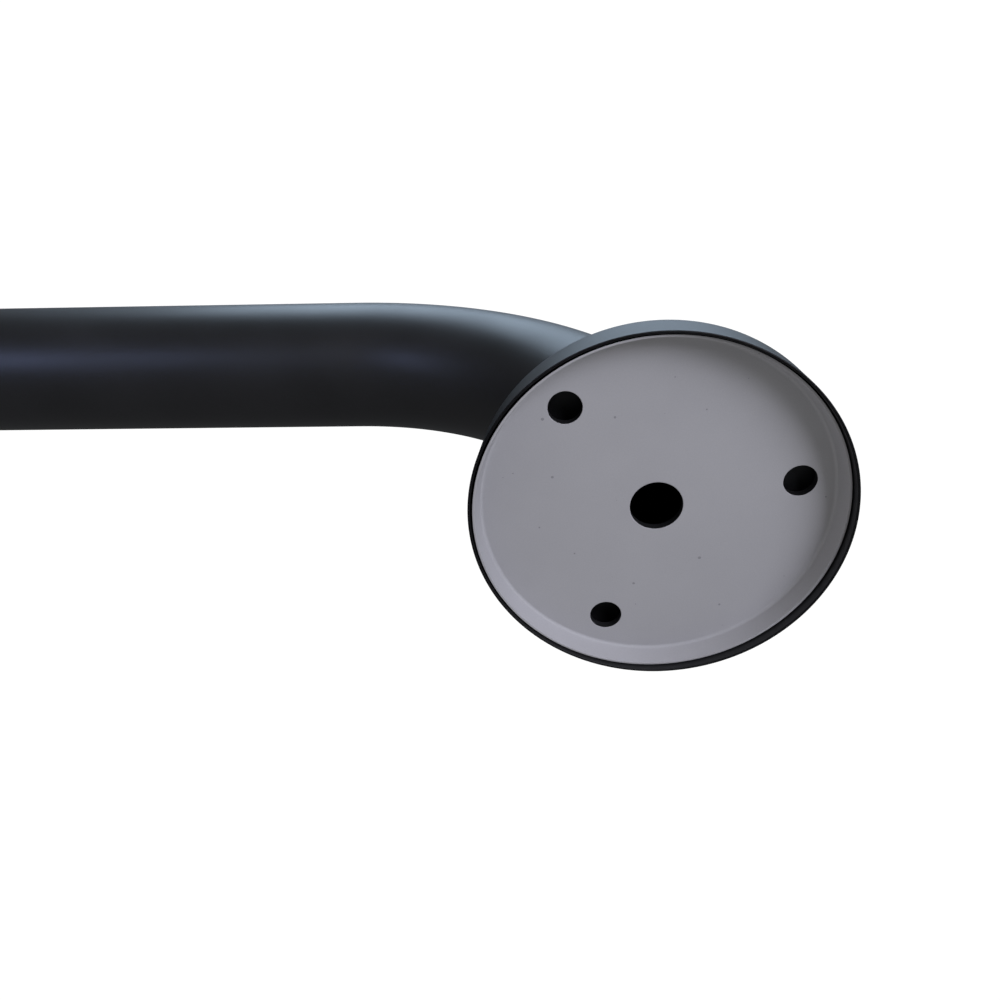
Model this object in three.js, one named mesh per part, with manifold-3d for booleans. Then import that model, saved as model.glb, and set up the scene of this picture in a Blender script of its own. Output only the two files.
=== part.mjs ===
// Wall-fixed assist rail: a bent tube with a dished flange plate at each end and a sliding round cover
// that hides the fixing screws. Units are millimetres and +Z is up. The wall plane is Y = 0 with the
// wall on its +Y side, the room is towards -Y, and the origin is midway between the two flanges.
import * as THREE from 'three';
import { mergeVertices } from 'three/addons/utils/BufferGeometryUtils.js';
import Module from 'manifold-3d';

const wasm = await Module();
wasm.setup();

// Rail tube
const FLANGE_SPACING = 450;    // centre to centre of the two flanges
const TUBE_RADIUS = 19;        // outside of a 38 mm tube
const TUBE_WALL = 1.5;
const STAND_OFF = 97;          // wall plane to the axis of the grip
const BEND_RADIUS = 80;        // to the tube's axis

// Flange plate, a dish that opens towards the wall
const LIP_RADIUS = 39.0;
const LIP_WIDTH = 0.5;
const DISH_DEPTH = 4.7;
const DISH_DRAFT = 1.0;        // how far the dish wall leans in behind the lip, inside and outside
const DISH_FILLET = 1.0;
const PLATE_THICKNESS = 2.0;
const PLATE_BACK_FILLET = 1.5;
const VENT_RADIUS = 5.6;       // centre hole into the tube
const SCREW_CIRCLE_RADIUS = 30;
const SCREW_HOLE_RADIUS = 3.5;
const SCREW_HOLE_COUNT = 3;
const FIRST_HOLE_ANGLE = 49;   // degrees from the rail's direction towards +Z
const WELD_LEG = 1.5;          // fillet weld round the foot of the tube

// Cover, a pressed cap that slides along the leg of the tube
const COVER_RADIUS = 40.0;     // at the rim
const COVER_DRAFT = 0.6;       // how far the side leans in between the rim and the rounded edge
const COVER_WALL = 0.6;
const COVER_RISE = 10.6;       // wall plane to the room side of the cover
const COVER_RIM_DROP = 1.1;    // how far the rim hangs past the wall plane before fixing
const COVER_EDGE_RADIUS = 3.0;
const COVER_BORE_RADIUS = 19.8;

// Rubber grip ring under the cover's top, between cover and tube
const RING_INNER_RADIUS = 19.4;
const RING_OUTER_RADIUS = 25;
const RING_THICKNESS = 1.2;
const RING_CHAMFER = 0.3;

const GAP = 0.3;               // left between pieces that touch

// Facet counts
const ROUND_SEGMENTS = 48;
const TUBE_OUTER_SIDES = 36;
const TUBE_INNER_SIDES = 20;
const BEND_STEPS = 14;
const HOLE_SIDES = 24;
const FILLET_STEPS = 3;
const EDGE_STEPS = 5;

const black = { color: 0x1b1b1e, roughness: 0.45, metalness: 0.0 };
const grey = { color: 0xb9bac0, roughness: 0.7, metalness: 0.0 };
const rubber = { color: 0x0d0d0e, roughness: 0.85, metalness: 0.0 };

function mesh(name, geometry, look) {
  const result = new THREE.Mesh(geometry, new THREE.MeshStandardMaterial(look));
  result.name = name;
  return result;
}

// Points of an arc in a profile's (radius, y) plane, with angles in degrees.
function arc(centreX, centreY, radius, fromDegrees, toDegrees, steps) {
  return Array.from({ length: steps + 1 }, (_, i) => {
    const angle = THREE.MathUtils.degToRad(fromDegrees + ((toDegrees - fromDegrees) * i) / steps);
    return [centreX + radius * Math.cos(angle), centreY + radius * Math.sin(angle)];
  });
}

// A ring turned about the Y axis from a profile that runs anticlockwise and closes on itself.
function turned(profile) {
  const points = [...profile, profile[0]].map(([radius, y]) => new THREE.Vector2(radius, y));
  return new THREE.LatheGeometry(points, ROUND_SEGMENTS);
}

function toSolid(geometry) {
  const bare = geometry.clone();
  bare.deleteAttribute('normal');
  bare.deleteAttribute('uv');
  const merged = mergeVertices(bare);
  return new wasm.Manifold(new wasm.Mesh({
    numProp: 3,
    vertProperties: new Float32Array(merged.attributes.position.array),
    triVerts: new Uint32Array(merged.index.array),
  }));
}

function toGeometry(solid) {
  const { vertProperties, triVerts } = solid.getMesh();
  const geometry = new THREE.BufferGeometry();
  geometry.setAttribute('position', new THREE.BufferAttribute(vertProperties, 3));
  geometry.setIndex(new THREE.BufferAttribute(triVerts, 1));
  geometry.computeVertexNormals();
  return geometry;
}

// The tube's axis: a short leg out of each flange, two quarter bends and the straight grip between
// them. Each station is one cross-section of the tube, so the straight runs need no extra ones.
class RailPath extends THREE.Curve {
  constructor() {
    super();
    const foot = DISH_DEPTH + PLATE_THICKNESS + GAP;
    const legEnd = STAND_OFF - BEND_RADIUS;
    const half = FLANGE_SPACING / 2;
    const left = [[-half, -foot, 0]];
    for (let i = 0; i <= BEND_STEPS; i += 1) {
      const turn = (i / BEND_STEPS) * (Math.PI / 2);
      const x = -half + BEND_RADIUS * (1 - Math.cos(turn));
      left.push([x, -legEnd - BEND_RADIUS * Math.sin(turn), turn]);
    }
    const right = left.map(([x, y, turn]) => [-x, y, Math.PI - turn]).reverse();
    this.stations = [...left, ...right];
  }

  get steps() {
    return this.stations.length - 1;
  }

  station(u) {
    return this.stations[Math.round(u * this.steps)];
  }

  getPointAt(u, target = new THREE.Vector3()) {
    const [x, y] = this.station(u);
    return target.set(x, y, 0);
  }

  getTangentAt(u, target = new THREE.Vector3()) {
    const turn = this.station(u)[2];
    return target.set(Math.sin(turn), -Math.cos(turn), 0);
  }
}

function circlePoints(radius, sides) {
  return Array.from({ length: sides }, (_, i) => {
    const angle = (i / sides) * 2 * Math.PI;
    return new THREE.Vector2(radius * Math.cos(angle), radius * Math.sin(angle));
  });
}

function railTube() {
  const section = new THREE.Shape(circlePoints(TUBE_RADIUS, TUBE_OUTER_SIDES));
  section.holes.push(new THREE.Path(circlePoints(TUBE_RADIUS - TUBE_WALL, TUBE_INNER_SIDES)));
  const path = new RailPath();
  const geometry = new THREE.ExtrudeGeometry(section, { steps: path.steps, extrudePath: path });
  return mesh('rail_tube', geometry, black);
}

// side is -1 at the left end and +1 at the right end, as seen from the room.
function screwHole(index, side) {
  const turn = FIRST_HOLE_ANGLE + (index * 360) / SCREW_HOLE_COUNT;
  const angle = THREE.MathUtils.degToRad(turn);
  const length = 4 * PLATE_THICKNESS;
  const hole = new THREE.CylinderGeometry(SCREW_HOLE_RADIUS, SCREW_HOLE_RADIUS, length, HOLE_SIDES);
  const x = -side * SCREW_CIRCLE_RADIUS * Math.cos(angle);
  const z = SCREW_CIRCLE_RADIUS * Math.sin(angle);
  hole.translate(x, -DISH_DEPTH - PLATE_THICKNESS / 2, z);
  return hole;
}

function flangePlate(name, side) {
  const floor = -DISH_DEPTH;
  const back = floor - PLATE_THICKNESS;
  const lipInner = LIP_RADIUS - LIP_WIDTH;
  const wallFoot = lipInner - DISH_DRAFT;
  const weldRadius = TUBE_RADIUS + GAP;
  const backCorner = LIP_RADIUS - DISH_DRAFT - PLATE_BACK_FILLET;
  const floorCorner = wallFoot - DISH_FILLET;
  const profile = [
    [VENT_RADIUS, back],
    [weldRadius, back],
    [weldRadius, back - WELD_LEG],
    [weldRadius + WELD_LEG, back],
    ...arc(backCorner, back + PLATE_BACK_FILLET, PLATE_BACK_FILLET, -90, 0, FILLET_STEPS),
    [LIP_RADIUS, 0],
    [lipInner, 0],
    ...arc(floorCorner, floor + DISH_FILLET, DISH_FILLET, 0, -90, FILLET_STEPS),
    [VENT_RADIUS, floor],
  ];
  let plate = toSolid(turned(profile));
  for (let i = 0; i < SCREW_HOLE_COUNT; i += 1) {
    plate = plate.subtract(toSolid(screwHole(i, side)));
  }
  return mesh(name, toGeometry(plate), grey);
}

function flangeCover(name) {
  const top = -COVER_RISE;
  const edgeX = COVER_RADIUS - COVER_DRAFT - COVER_EDGE_RADIUS;
  const edgeY = top + COVER_EDGE_RADIUS;
  const innerEdge = COVER_EDGE_RADIUS - COVER_WALL;
  const profile = [
    [COVER_BORE_RADIUS, top],
    ...arc(edgeX, edgeY, COVER_EDGE_RADIUS, -90, 0, EDGE_STEPS),
    [COVER_RADIUS, COVER_RIM_DROP],
    [COVER_RADIUS - COVER_WALL, COVER_RIM_DROP],
    ...arc(edgeX, edgeY, innerEdge, 0, -90, EDGE_STEPS),
    [COVER_BORE_RADIUS, top + COVER_WALL],
  ];
  return mesh(name, turned(profile), black);
}

function gripRing(name) {
  const top = -COVER_RISE + COVER_WALL + GAP;
  const bottom = top + RING_THICKNESS;
  const profile = [
    [RING_INNER_RADIUS, top],
    [RING_OUTER_RADIUS, top],
    [RING_OUTER_RADIUS, bottom - RING_CHAMFER],
    [RING_OUTER_RADIUS - RING_CHAMFER, bottom],
    [RING_INNER_RADIUS + RING_CHAMFER, bottom],
    [RING_INNER_RADIUS, bottom - RING_CHAMFER],
  ];
  return mesh(name, turned(profile), rubber);
}

function flangeSet(label, side) {
  const set = new THREE.Group();
  set.add(flangePlate(`${label}_flange_plate`, side));
  set.add(flangeCover(`${label}_flange_cover`));
  set.add(gripRing(`${label}_grip_ring`));
  set.position.x = (side * FLANGE_SPACING) / 2;
  return set;
}

const rail = new THREE.Group();
rail.add(railTube());
rail.add(flangeSet('left', -1));
rail.add(flangeSet('right', 1));

export default rail;
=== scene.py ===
"""Looks of a wall-fixed assist rail: a bent tube, and at each end a dished flange plate, a sliding round
cover and the rubber ring inside it. Metres, +Z up, the wall plane is Y = 0 and the room is towards -Y."""

import math

import bmesh
import bpy
from mathutils import Matrix, Vector

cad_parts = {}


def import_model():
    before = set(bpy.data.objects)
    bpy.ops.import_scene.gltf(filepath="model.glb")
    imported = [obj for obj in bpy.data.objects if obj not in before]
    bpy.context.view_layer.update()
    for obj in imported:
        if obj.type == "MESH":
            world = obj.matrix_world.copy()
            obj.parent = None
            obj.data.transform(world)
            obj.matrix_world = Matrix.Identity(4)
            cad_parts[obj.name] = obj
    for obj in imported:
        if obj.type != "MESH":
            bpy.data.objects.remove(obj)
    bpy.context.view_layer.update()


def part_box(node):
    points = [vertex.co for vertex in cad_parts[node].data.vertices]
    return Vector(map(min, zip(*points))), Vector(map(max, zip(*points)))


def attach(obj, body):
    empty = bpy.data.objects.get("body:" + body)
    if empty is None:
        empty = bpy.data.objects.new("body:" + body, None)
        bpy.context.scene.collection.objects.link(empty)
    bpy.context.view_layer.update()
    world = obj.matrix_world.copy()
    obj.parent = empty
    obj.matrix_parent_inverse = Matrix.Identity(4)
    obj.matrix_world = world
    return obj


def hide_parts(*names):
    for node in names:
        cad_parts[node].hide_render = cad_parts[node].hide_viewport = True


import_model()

MM = 0.001
SIDES = {"left": -1, "right": 1}

# Sizes read from the CAD frame
tube_low, tube_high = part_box("rail_tube")
plate_low, plate_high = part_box("left_flange_plate")
cover_low, cover_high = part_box("left_flange_cover")
ring_low, ring_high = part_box("left_grip_ring")

TUBE_RADIUS = (tube_high.z - tube_low.z) / 2
TUBE_FOOT = tube_high.y
STAND_OFF = -tube_low.y - TUBE_RADIUS
HALF_SPACING = -(plate_low.x + plate_high.x) / 2
LIP_RADIUS = (plate_high.x - plate_low.x) / 2
COVER_RADIUS = (cover_high.x - cover_low.x) / 2
COVER_TOP = cover_low.y
COVER_RIM = cover_high.y
RING_RADIUS = (ring_high.x - ring_low.x) / 2

# Sizes of the details, as in the CAD model unless the comment says otherwise
TUBE_WALL = 1.5 * MM
BEND_RADIUS = 80 * MM
DISH_FLOOR = -4.7 * MM
PLATE_BACK = -6.7 * MM
LIP_WIDTH = 0.5 * MM
DISH_DRAFT = 1.0 * MM          # how far the dish wall leans in behind the lip
DISH_FILLET = 0.8 * MM         # a little tighter than the CAD model's, as photographed
BACK_FILLET = 1.5 * MM
VENT_RADIUS = 5.6 * MM
SCREW_CIRCLE = 30 * MM
SCREW_HOLE_RADIUS = 3.5 * MM
SCREW_HOLE_COUNT = 3
FIRST_HOLE_ANGLE = math.radians(49)
WELD_LEG = 1.5 * MM
COVER_WALL = 0.6 * MM
COVER_DRAFT = 0.6 * MM         # lean of the side between the rim and the rounded edge
COVER_EDGE_RADIUS = 3 * MM
COVER_BORE = 19.8 * MM
RING_BORE = 19.4 * MM
RING_CLEARANCE = 0.6 * MM      # taken off the ring's room side, where a tilted cover would cut it

# Roundings of edges that the CAD model leaves sharp or chamfers
HOLE_EDGE = 0.15 * MM
LIP_EDGE = 0.10 * MM
COVER_EDGE = 0.25 * MM         # at the cover's rim and bore
RING_EDGE = 0.20 * MM

# How the loose covers sit on the tube, as turns about X and Z. The photograph shows the left one.
COVER_TILT = {"left": (math.radians(0.36), math.radians(-1.74)), "right": (0.0, 0.0)}

# How the meshes are made up
ROUND = 256
TUBE_SIDES = 160
BEND_STEPS = 96
HOLE_SIDES = 72
TUBE_SHARP_ANGLE = math.radians(40)
GUARD = 0.10 * MM              # width of the flat strip that keeps a flat face flat beside a fillet
FLAT_MARGIN = 3 * MM           # how far in from the dish wall the plate's filled flat faces begin
HOLE_MARGIN = 0.9 * MM         # the same, outwards from a hole


# ---------------------------------------------------------------- mesh helpers

def rounded(corners, steps=8, closed=True):
    """Outline through (x, y, fillet radius) corners, each fillet an arc with a narrow flat at both ends."""
    count = len(corners)
    points = []
    for i, (x, y, radius) in enumerate(corners):
        here = Vector((x, y))
        if radius == 0 or (not closed and i in (0, count - 1)):
            points.append(here)
            continue
        before = (Vector(corners[i - 1][:2]) - here).normalized()
        after = (Vector(corners[(i + 1) % count][:2]) - here).normalized()
        half_angle = before.angle(after) / 2
        reach = radius / math.tan(half_angle)
        centre = here + (before + after).normalized() * radius / math.sin(half_angle)
        start = here + before * reach
        end = here + after * reach
        points.append(start + before * GUARD)
        from_angle = math.atan2(*(start - centre).yx)
        sweep = (math.atan2(*(end - centre).yx) - from_angle + math.pi) % (2 * math.pi) - math.pi
        for k in range(steps + 1):
            angle = from_angle + sweep * k / steps
            points.append(centre + radius * Vector((math.cos(angle), math.sin(angle))))
        points.append(end + after * GUARD)
    return points


def add_turned(bm, outline, centre, sides, closed, wobble=None):
    """Adds (radius, y) points turned about the Y axis through centre. Returns the rings of vertices."""
    rings = []
    for radius, y in outline:
        ring = []
        for k in range(sides):
            angle = 2 * math.pi * k / sides
            r = radius + (wobble(radius, angle) if wobble else 0)
            ring.append(bm.verts.new((centre.x + r * math.cos(angle), y, centre.z + r * math.sin(angle))))
        rings.append(ring)
    pairs = list(zip(rings, rings[1:] + rings[:1])) if closed else list(zip(rings, rings[1:]))
    for low, high in pairs:
        for k in range(sides):
            n = (k + 1) % sides
            bm.faces.new((low[k], low[n], high[n], high[k]))
    return rings


def ring_edges(bm, ring):
    return [bm.edges.get((ring[k], ring[(k + 1) % len(ring)])) for k in range(len(ring))]


def finished(bm, name, material, body, replaces=None):
    """Turns the mesh into a smooth piece that rides on a CAD body."""
    bmesh.ops.recalc_face_normals(bm, faces=bm.faces)
    mesh = bpy.data.meshes.new(name)
    bm.to_mesh(mesh)
    bm.free()
    for polygon in mesh.polygons:
        polygon.use_smooth = True
    mesh.materials.append(material)
    piece = bpy.data.objects.new(name, mesh)
    bpy.context.scene.collection.objects.link(piece)
    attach(piece, body)
    if replaces:
        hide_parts(replaces)
    return piece


# ---------------------------------------------------------------- materials

def new_material(name):
    material = bpy.data.materials.new(name)
    material.use_nodes = True
    nodes = material.node_tree.nodes
    return material, nodes, material.node_tree.links, nodes["Principled BSDF"]


def node(nodes, kind, **values):
    made = nodes.new(kind)
    for key, value in values.items():
        if key in made.inputs:
            made.inputs[key].default_value = value
        else:
            setattr(made, key, value)
    return made


def noise_texture(nodes, links, scale, detail=3.0, roughness=0.55):
    """Noise in the piece's own metres, scale features to the metre."""
    place = nodes.get("Place") or node(nodes, "ShaderNodeTexCoord", name="Place")
    noise = node(nodes, "ShaderNodeTexNoise", Scale=scale, Detail=detail, Roughness=roughness)
    links.new(place.outputs["Object"], noise.inputs["Vector"])
    return noise.outputs["Fac"]


def ramp(nodes, links, source, stops):
    """A colour ramp with (position, grey or colour) stops."""
    made = node(nodes, "ShaderNodeValToRGB")
    elements = made.color_ramp.elements
    while len(elements) < len(stops):
        elements.new(0.5)
    for element, (position, value) in zip(elements, stops):
        element.position = position
        element.color = (*value, 1) if isinstance(value, tuple) else (value, value, value, 1)
    links.new(source, made.inputs["Fac"])
    return made.outputs["Color"]


def mixed(nodes, links, factor, first, second, mode="MIX"):
    """A colour mix whose factor and ends are sockets or plain values."""
    made = node(nodes, "ShaderNodeMix", data_type="RGBA", blend_type=mode)
    for socket, value in ((made.inputs[0], factor), (made.inputs[6], first), (made.inputs[7], second)):
        if isinstance(value, bpy.types.NodeSocket):
            links.new(value, socket)
        elif isinstance(value, tuple):
            socket.default_value = (*value, 1)
        else:
            socket.default_value = value
    return made.outputs[2]


def bumped(nodes, links, shader, layers):
    """Chains bump nodes, one for each (height socket, strength, distance) layer."""
    last = None
    for height, strength, distance in layers:
        bump = node(nodes, "ShaderNodeBump", Strength=strength, Distance=distance)
        links.new(height, bump.inputs["Height"])
        if last:
            links.new(last.outputs["Normal"], bump.inputs["Normal"])
        last = bump
    links.new(last.outputs["Normal"], shader.inputs["Normal"])


def powder_coat():
    """Satin black powder coat: a fine even grain over a faint orange peel, a little dust and edge wear."""
    material, nodes, links, shader = new_material("powder_coat")
    grain = noise_texture(nodes, links, 2600, detail=2)
    peel = noise_texture(nodes, links, 420, detail=1)
    patches = noise_texture(nodes, links, 35, detail=4)
    tone = ramp(nodes, links, patches, [(0.3, (0.0085, 0.0085, 0.0092)), (0.7, (0.0110, 0.0110, 0.0120))])
    speckle = ramp(nodes, links, grain, [(0.60, 0.0), (0.80, 0.35)])
    colour = mixed(nodes, links, speckle, tone, (0.022, 0.023, 0.025))
    shape = node(nodes, "ShaderNodeNewGeometry")
    edge = ramp(nodes, links, shape.outputs["Pointiness"], [(0.56, 0.0), (0.68, 1.0)])
    chips = ramp(nodes, links, noise_texture(nodes, links, 900, detail=5), [(0.60, 0.0), (0.68, 0.6)])
    wear = mixed(nodes, links, 1.0, edge, chips, mode="MULTIPLY")
    links.new(mixed(nodes, links, wear, colour, (0.16, 0.16, 0.17)), shader.inputs["Base Color"])
    links.new(ramp(nodes, links, patches, [(0.25, 0.40), (0.75, 0.48)]), shader.inputs["Roughness"])
    bumped(nodes, links, shader, [(peel, 0.10, 0.04 * MM), (grain, 0.30, 0.02 * MM)])
    return material


def plate_grey():
    """Matt grey pressed steel: soft clouding, a fine blasted grain and a few dark pits."""
    material, nodes, links, shader = new_material("plate_grey")
    clouds = noise_texture(nodes, links, 28, detail=5, roughness=0.6)
    grain = noise_texture(nodes, links, 3200, detail=3)
    tone = ramp(nodes, links, clouds, [(0.30, (0.365, 0.362, 0.378)), (0.70, (0.395, 0.392, 0.408))])
    shade = ramp(nodes, links, grain, [(0.30, 0.93), (0.70, 1.0)])
    colour = mixed(nodes, links, 1.0, tone, shade, mode="MULTIPLY")
    flat = node(nodes, "ShaderNodeMapping", Rotation=(math.pi / 2, 0, 0))
    links.new(nodes["Place"].outputs["Object"], flat.inputs["Vector"])
    pits = node(nodes, "ShaderNodeTexVoronoi", voronoi_dimensions="2D", Scale=150.0, Randomness=1.0)
    links.new(flat.outputs["Vector"], pits.inputs["Vector"])
    size = node(nodes, "ShaderNodeMapRange", **{"From Min": 0.62, "To Max": 0.07})
    links.new(pits.outputs["Color"], size.inputs["Value"])
    inside = node(nodes, "ShaderNodeMath", operation="LESS_THAN")
    links.new(pits.outputs["Distance"], inside.inputs[0])
    links.new(size.outputs["Result"], inside.inputs[1])
    pitted = mixed(nodes, links, inside.outputs["Value"], colour, (0.24, 0.24, 0.25))
    links.new(pitted, shader.inputs["Base Color"])
    links.new(ramp(nodes, links, clouds, [(0.3, 0.58), (0.7, 0.68)]), shader.inputs["Roughness"])
    bumped(nodes, links, shader, [(clouds, 0.05, 0.3 * MM), (grain, 0.25, 0.015 * MM)])
    return material


def rim_painted_shade():
    """The cover's cut rim: a duller black with painted shade, darker than on the faces."""
    material, nodes, links, shader = new_material("rim_painted_shade")
    grain = noise_texture(nodes, links, 2600, detail=2)
    # Painted shade: a darker black than the coat's own, for the shadowed rim
    tone = ramp(nodes, links, grain, [(0.35, (0.0045, 0.0045, 0.0050)), (0.75, (0.0080, 0.0080, 0.0088))])
    links.new(tone, shader.inputs["Base Color"])
    links.new(ramp(nodes, links, grain, [(0.3, 0.50), (0.7, 0.60)]), shader.inputs["Roughness"])
    shader.inputs["Specular IOR Level"].default_value = 0.22
    bumped(nodes, links, shader, [(grain, 0.30, 0.02 * MM)])
    return material


def ring_rubber():
    """Matt black moulded rubber with a slight bloom."""
    material, nodes, links, shader = new_material("ring_rubber")
    bloom = noise_texture(nodes, links, 160, detail=4)
    grain = noise_texture(nodes, links, 4000, detail=2)
    tone = ramp(nodes, links, bloom, [(0.35, (0.010, 0.010, 0.011)), (0.75, (0.022, 0.022, 0.023))])
    links.new(tone, shader.inputs["Base Color"])
    links.new(ramp(nodes, links, bloom, [(0.3, 0.78), (0.7, 0.9)]), shader.inputs["Roughness"])
    bumped(nodes, links, shader, [(grain, 0.3, 0.02 * MM)])
    return material


def seen_or_lit(nodes, links, seen, lit, output):
    """Shows the camera one shader, and lights the object with the other."""
    path = node(nodes, "ShaderNodeLightPath")
    mix = node(nodes, "ShaderNodeMixShader")
    links.new(path.outputs["Is Camera Ray"], mix.inputs[0])
    links.new(lit.outputs[0], mix.inputs[1])
    links.new(seen.outputs[0], mix.inputs[2])
    links.new(mix.outputs[0], nodes[output].inputs["Surface"])


def floor_white():
    """White to the eye, and a dimmer bounce on the object."""
    material, nodes, links, shader = new_material("floor_white")
    seen = node(nodes, "ShaderNodeEmission", Color=(1, 1, 1, 1), Strength=SEEN_WHITE)
    bounce = node(nodes, "ShaderNodeEmission", Color=(1, 1, 1, 1), Strength=0.45)
    seen_or_lit(nodes, links, seen, bounce, "Material Output")
    nodes.remove(shader)
    return material


POWDER_COAT = powder_coat()
PLATE_GREY = plate_grey()
RIM_PAINTED_SHADE = rim_painted_shade()
RING_RUBBER = ring_rubber()


# ---------------------------------------------------------------- pieces

def tube_stations():
    """Centre and direction of each cross-section, from the left foot to the right one."""
    leg_end = -(STAND_OFF - BEND_RADIUS)
    left = [(Vector((-HALF_SPACING, TUBE_FOOT, 0)), 0.0)]
    for i in range(BEND_STEPS + 1):
        turn = math.pi / 2 * i / BEND_STEPS
        x = -HALF_SPACING + BEND_RADIUS * (1 - math.cos(turn))
        left.append((Vector((x, leg_end - BEND_RADIUS * math.sin(turn), 0)), turn))
    right = [(Vector((-at.x, at.y, 0)), math.pi - turn) for at, turn in reversed(left)]
    return left + right


def rail_tube():
    """The outer and inner skins of the bent tube, joined at both ends."""
    bm = bmesh.new()
    skins = []
    for radius in (TUBE_RADIUS, TUBE_RADIUS - TUBE_WALL):
        rings = []
        for at, turn in tube_stations():
            outward = Vector((math.cos(turn), math.sin(turn), 0))
            ring = []
            for k in range(TUBE_SIDES):
                angle = 2 * math.pi * k / TUBE_SIDES
                way = outward * math.cos(angle) + Vector((0, 0, math.sin(angle)))
                ring.append(bm.verts.new(at + radius * way))
            rings.append(ring)
        skins.append(rings)
    outer, inner = skins
    bands = list(zip(outer, outer[1:])) + list(zip(inner, inner[1:]))
    bands += [(outer[0], inner[0]), (outer[-1], inner[-1])]
    for first, second in bands:
        for k in range(TUBE_SIDES):
            n = (k + 1) % TUBE_SIDES
            bm.faces.new((first[k], first[n], second[n], second[k]))
    piece = finished(bm, "rail_tube_skin", POWDER_COAT, "rail", "rail_tube")
    piece.data.set_sharp_from_angle(angle=TUBE_SHARP_ANGLE)
    return piece


def is_coated(polygon, centre, holes):
    """Whether a face of the plate is black: on the room side, on the outside or in a hole."""
    middle = polygon.center - centre
    in_bore = any(math.hypot(middle.x - at.x, middle.z - at.z) < radius + HOLE_EDGE / 4
                  for at, radius in holes)
    outward = (polygon.normal.x * middle.x + polygon.normal.z * middle.z) / middle.length
    outside = middle.length > LIP_RADIUS - DISH_DRAFT - FLAT_MARGIN and outward > 0.7
    return polygon.normal.y < -0.3 or outside or in_bore


def flange_plate(label):
    """The dish, its rounded lip, the vent and the three screw holes, all with softened edges."""
    side = SIDES[label]
    centre = Vector((side * HALF_SPACING, 0, 0))
    lip_inner = LIP_RADIUS - LIP_WIDTH
    back_corner = LIP_RADIUS - DISH_DRAFT
    outline = rounded([
        (lip_inner - FLAT_MARGIN, DISH_FLOOR, 0),
        (lip_inner - DISH_DRAFT, DISH_FLOOR, DISH_FILLET),
        (lip_inner, 0, LIP_EDGE),
        (LIP_RADIUS, 0, LIP_EDGE),
        (back_corner, PLATE_BACK, BACK_FILLET),
        (back_corner - FLAT_MARGIN, PLATE_BACK, 0),
    ], closed=False)
    bm = bmesh.new()
    dish = add_turned(bm, outline, centre, ROUND, closed=False)
    floor_rims = [dish[0]]
    back_rims = [dish[-1]]
    holes = [(Vector((0, 0, 0)), VENT_RADIUS)]
    for i in range(SCREW_HOLE_COUNT):
        angle = FIRST_HOLE_ANGLE + i * 2 * math.pi / SCREW_HOLE_COUNT
        offset = SCREW_CIRCLE * Vector((-side * math.cos(angle), 0, math.sin(angle)))
        holes.append((offset, SCREW_HOLE_RADIUS))
    for offset, radius in holes:
        hole_outline = rounded([
            (radius + HOLE_MARGIN, DISH_FLOOR, 0),
            (radius, DISH_FLOOR, HOLE_EDGE),
            (radius, PLATE_BACK, HOLE_EDGE),
            (radius + HOLE_MARGIN, PLATE_BACK, 0),
        ], steps=6, closed=False)
        rings = add_turned(bm, hole_outline, centre + offset, HOLE_SIDES, closed=False)
        floor_rims.append(rings[0])
        back_rims.append(rings[-1])
    for rims in (floor_rims, back_rims):
        edges = [edge for ring in rims for edge in ring_edges(bm, ring)]
        bmesh.ops.triangle_fill(bm, use_beauty=True, use_dissolve=False, edges=edges)
    plate = finished(bm, f"{label}_plate_skin", PLATE_GREY, "rail", f"{label}_flange_plate")
    plate.data.materials.append(POWDER_COAT)
    for polygon in plate.data.polygons:
        if is_coated(polygon, centre, holes):
            polygon.material_index = 1
    return plate


def weld_bead(label):
    """The rippled fillet weld round the foot of the tube, on the room side of the plate."""
    centre = Vector((SIDES[label] * HALF_SPACING, 0, 0))
    ripples = 44
    inner = TUBE_RADIUS - 0.2 * MM
    outline = [
        (inner, PLATE_BACK + 0.2 * MM),
        (inner, PLATE_BACK - WELD_LEG),
        (TUBE_RADIUS + 0.15 * MM, PLATE_BACK - 0.97 * WELD_LEG),
        (TUBE_RADIUS + 0.55 * MM, PLATE_BACK - 0.85 * WELD_LEG),
        (TUBE_RADIUS + 0.95 * MM, PLATE_BACK - 0.64 * WELD_LEG),
        (TUBE_RADIUS + 1.30 * MM, PLATE_BACK - 0.36 * WELD_LEG),
        (TUBE_RADIUS + 1.50 * MM, PLATE_BACK),
        (TUBE_RADIUS + 1.50 * MM, PLATE_BACK + 0.2 * MM),
    ]

    def wobble(radius, angle):
        if radius <= inner:
            return 0
        wave = abs(math.sin(ripples * angle / 2 + 0.8 * math.sin(3 * angle)))
        return 0.16 * MM * (wave - 0.6) + 0.06 * MM * math.sin(5 * angle + 1)

    bm = bmesh.new()
    add_turned(bm, outline, centre, ripples * 12, closed=True, wobble=wobble)
    return finished(bm, f"{label}_weld_bead", POWDER_COAT, "rail")


def tilt(bm, label, pivot):
    """Turns a mesh about the pivot, as the loose cover at that end sits."""
    about_x, about_z = COVER_TILT[label]
    turn = Matrix.Rotation(about_x, 3, "X") @ Matrix.Rotation(about_z, 3, "Z")
    bmesh.ops.rotate(bm, verts=bm.verts, cent=pivot, matrix=turn)


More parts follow.
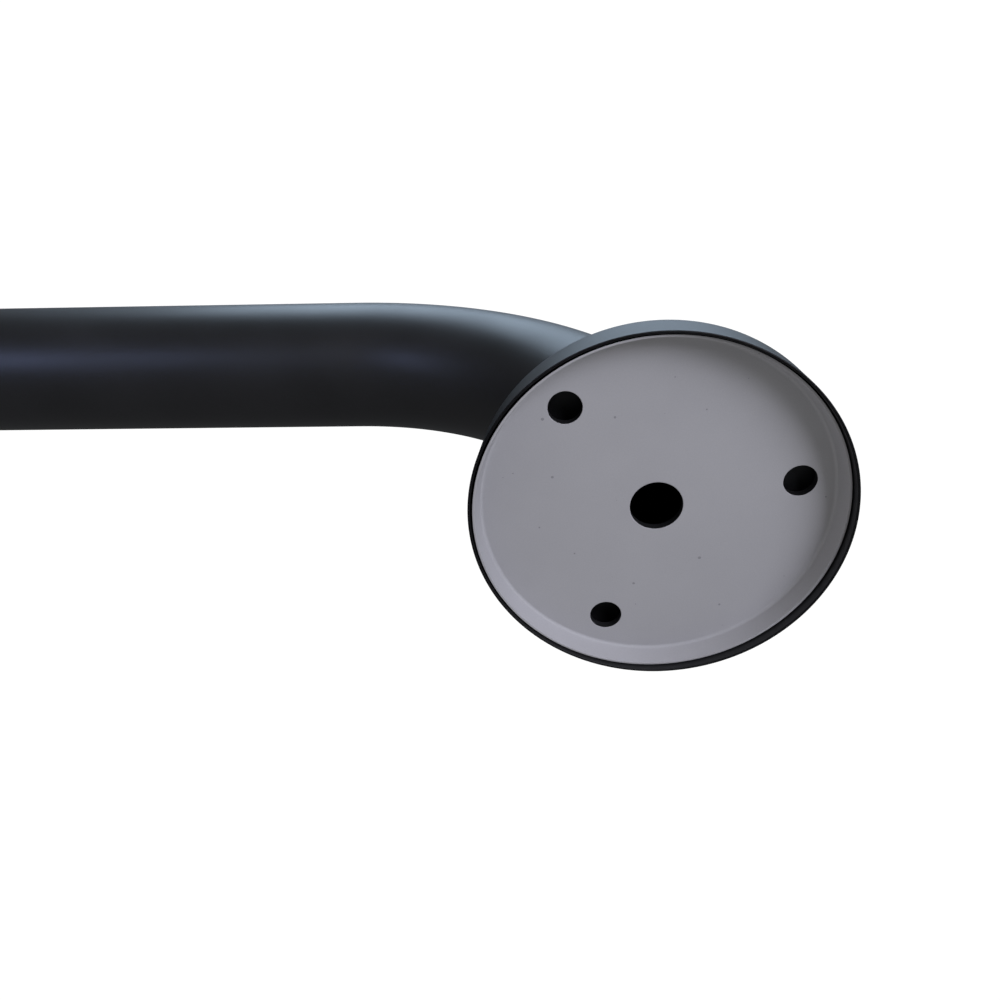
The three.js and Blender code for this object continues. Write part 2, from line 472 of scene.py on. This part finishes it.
def flange_cover(label):
    """The pressed cap, softened at its rim and its bore, with painted shade on the rim: a darker black of
    its own.
    """
    centre = Vector((SIDES[label] * HALF_SPACING, 0, 0))
    inner_edge = COVER_EDGE_RADIUS - COVER_WALL
    lean = COVER_DRAFT / (COVER_RIM - COVER_TOP - COVER_EDGE_RADIUS)
    top_radius = COVER_RADIUS - lean * (COVER_RIM - COVER_TOP)
    outline = rounded([
        (COVER_BORE, COVER_TOP, COVER_EDGE),
        (top_radius, COVER_TOP, COVER_EDGE_RADIUS),
        (COVER_RADIUS, COVER_RIM, COVER_EDGE),
        (COVER_RADIUS - COVER_WALL, COVER_RIM, COVER_EDGE),
        (top_radius - (1 - lean) * COVER_WALL, COVER_TOP + COVER_WALL, inner_edge),
        (COVER_BORE, COVER_TOP + COVER_WALL, COVER_EDGE),
    ], steps=10)
    bm = bmesh.new()
    add_turned(bm, outline, centre, ROUND, closed=True)
    # The rim's faces take the darker black of painted shade
    for face in bm.faces:
        if face.calc_center_median().y > COVER_RIM - 0.8 * COVER_EDGE:
            face.material_index = 1
    tilt(bm, label, centre)
    cover = finished(bm, f"{label}_cover_skin", POWDER_COAT, f"{label}_cover", f"{label}_flange_cover")
    cover.data.materials.append(RIM_PAINTED_SHADE)
    return cover


def grip_ring(label):
    """The rubber ring, thin enough for a tilted cover to turn over it."""
    centre = Vector((SIDES[label] * HALF_SPACING, 0, 0))
    room_face = ring_low.y + RING_CLEARANCE
    outline = rounded([
        (RING_BORE, room_face, RING_EDGE),
        (RING_RADIUS, room_face, RING_EDGE),
        (RING_RADIUS, ring_high.y, RING_EDGE),
        (RING_BORE, ring_high.y, RING_EDGE),
    ], steps=5)
    bm = bmesh.new()
    add_turned(bm, outline, centre, ROUND // 2, closed=True)
    return finished(bm, f"{label}_ring_skin", RING_RUBBER, f"{label}_ring", f"{label}_grip_ring")


rail_tube()
for end in SIDES:
    flange_plate(end)
    weld_bead(end)
    flange_cover(end)
    grip_ring(end)


# ---------------------------------------------------------------- stage, light and camera

FLANGE = Vector((-HALF_SPACING, 0, 0))
ON_GRIP = Vector((0.12, -STAND_OFF, 0))     # where the window light aims
FLOOR_HEIGHT = -0.45
SEEN_WHITE = 1.05              # floor and background, just over white, so that no pixel falls short
CAMERA_FROM_FLANGE = Vector((26.69, 153.79, 87.42)) * MM
CAMERA_HEADING = math.radians(182.37)
CAMERA_DOWN = math.radians(28.38)
CAMERA_ROLL = math.radians(-1.58)


def floor():
    """A wide white floor below the object, which reflections don't show."""
    bm = bmesh.new()
    bmesh.ops.create_grid(bm, x_segments=1, y_segments=1, size=30)
    mesh = bpy.data.meshes.new("floor")
    bm.to_mesh(mesh)
    bm.free()
    mesh.materials.append(floor_white())
    plane = bpy.data.objects.new("floor", mesh)
    plane.location.z = FLOOR_HEIGHT
    plane.visible_glossy = False
    bpy.context.scene.collection.objects.link(plane)


def softbox(name, direction, distance, size, power, colour,
            target=FLANGE, spread=180, diffuse=True, gloss=True):
    """An area light in that direction from the target, facing it, with its beam's spread in degrees.
    It can be left out of the object's diffuse shade or of its gloss."""
    data = bpy.data.lights.new(name, "AREA")
    data.shape = "RECTANGLE"
    data.size, data.size_y = size
    data.energy = power
    data.color = colour
    data.spread = math.radians(spread)
    light = bpy.data.objects.new(name, data)
    way = Vector(direction).normalized()
    light.location = target + way * distance
    light.rotation_mode = "QUATERNION"
    light.rotation_quaternion = way.to_track_quat("Z", "Y")
    light.visible_camera = False
    light.visible_diffuse = diffuse
    light.visible_glossy = gloss
    bpy.context.scene.collection.objects.link(light)


def world():
    """White to the eye, and a faint cool light from all round on the object."""
    made = bpy.data.worlds.new("studio")
    bpy.context.scene.world = made
    made.use_nodes = True
    nodes = made.node_tree.nodes
    links = made.node_tree.links
    seen = node(nodes, "ShaderNodeBackground", Color=(1, 1, 1, 1), Strength=SEEN_WHITE)
    fill = node(nodes, "ShaderNodeBackground", Color=(0.92, 0.95, 1.0, 1), Strength=0.12)
    seen_or_lit(nodes, links, seen, fill, "World Output")


def camera():
    """A close wide view from behind the wall plane, over the left flange, looking down at it."""
    data = bpy.data.cameras.new("camera")
    data.sensor_width = 36
    data.lens = 30.46
    data.clip_start = 0.01
    data.clip_end = 60
    made = bpy.data.objects.new("camera", data)
    turn = Matrix.Rotation(CAMERA_HEADING, 4, "Z") @ Matrix.Rotation(math.pi / 2 - CAMERA_DOWN, 4, "X")
    place = Matrix.Translation(FLANGE + CAMERA_FROM_FLANGE)
    made.matrix_world = place @ turn @ Matrix.Rotation(CAMERA_ROLL, 4, "Z")
    bpy.context.scene.collection.objects.link(made)
    bpy.context.scene.camera = made


floor()

# The key and the fill shade the dish. The sky and the window make the highlights along the tube.
softbox("key", (-0.535, 0.54, 0.64), 1.1, (0.6, 0.6), 11.7, (0.88, 0.89, 1.0))
softbox("fill", (0.5, 0.30, 0.8), 1.0, (0.8, 0.8), 1.6, (1.0, 0.95, 0.88), gloss=False)
softbox("sky", (-0.125, -0.80, 0.62), 1.6, (1.9, 1.15), 29, (0.64, 0.81, 1.0))
softbox("window", (0.530, 0.653, 0.511), 1.0, (0.45, 0.35), 0.2, (0.45, 0.56, 1.0),
        target=ON_GRIP, spread=34, diffuse=False)

world()
camera()
bpy.context.scene.view_settings.view_transform = "Standard"
